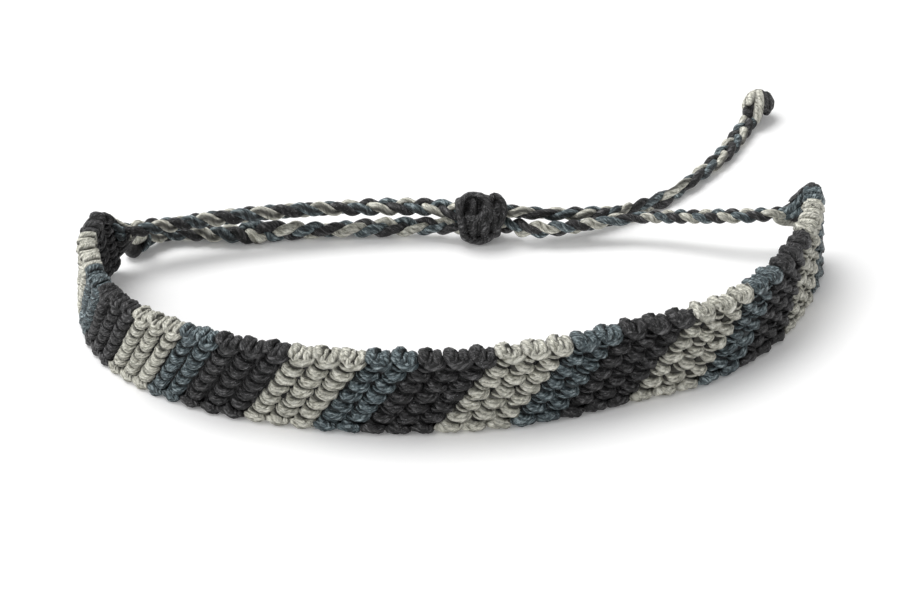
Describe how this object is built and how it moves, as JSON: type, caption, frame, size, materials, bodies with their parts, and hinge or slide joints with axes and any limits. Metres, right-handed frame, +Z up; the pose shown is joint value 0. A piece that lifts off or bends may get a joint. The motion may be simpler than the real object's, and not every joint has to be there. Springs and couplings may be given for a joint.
{
  "type": "friendship bracelet",
  "caption": "Knotted cord friendship bracelet with slanting grey, blue and charcoal stripes, plaited ties and a sliding knot.",
  "frame": {"origin": "centre of the underside of the whole bracelet's box", "axes": "+X along the width of the loop, towards its right end as seen from the front; -Y towards the front of the band; +Z up, along the band's height and the axis of the wrist"},
  "size_m": [0.0874, 0.0718, 0.01],
  "materials": {
    "grey_cord": "waxed cord with a soft sheen",
    "blue_cord": "waxed cord with a soft sheen",
    "black_cord": "waxed cord with a soft sheen"
  },
  "bodies": {
    "root": {"band": "grey_cord", "left_tie_black": "black_cord", "left_tie_grey": "grey_cord", "left_tie_blue": "blue_cord", "right_tie_black": "black_cord", "right_tie_grey": "grey_cord", "right_tie_blue": "blue_cord", "sliding_knot": "black_cord", "left_tail_knot": "grey_cord", "right_tail_knot": "black_cord"}
  },
  "joints": []
}
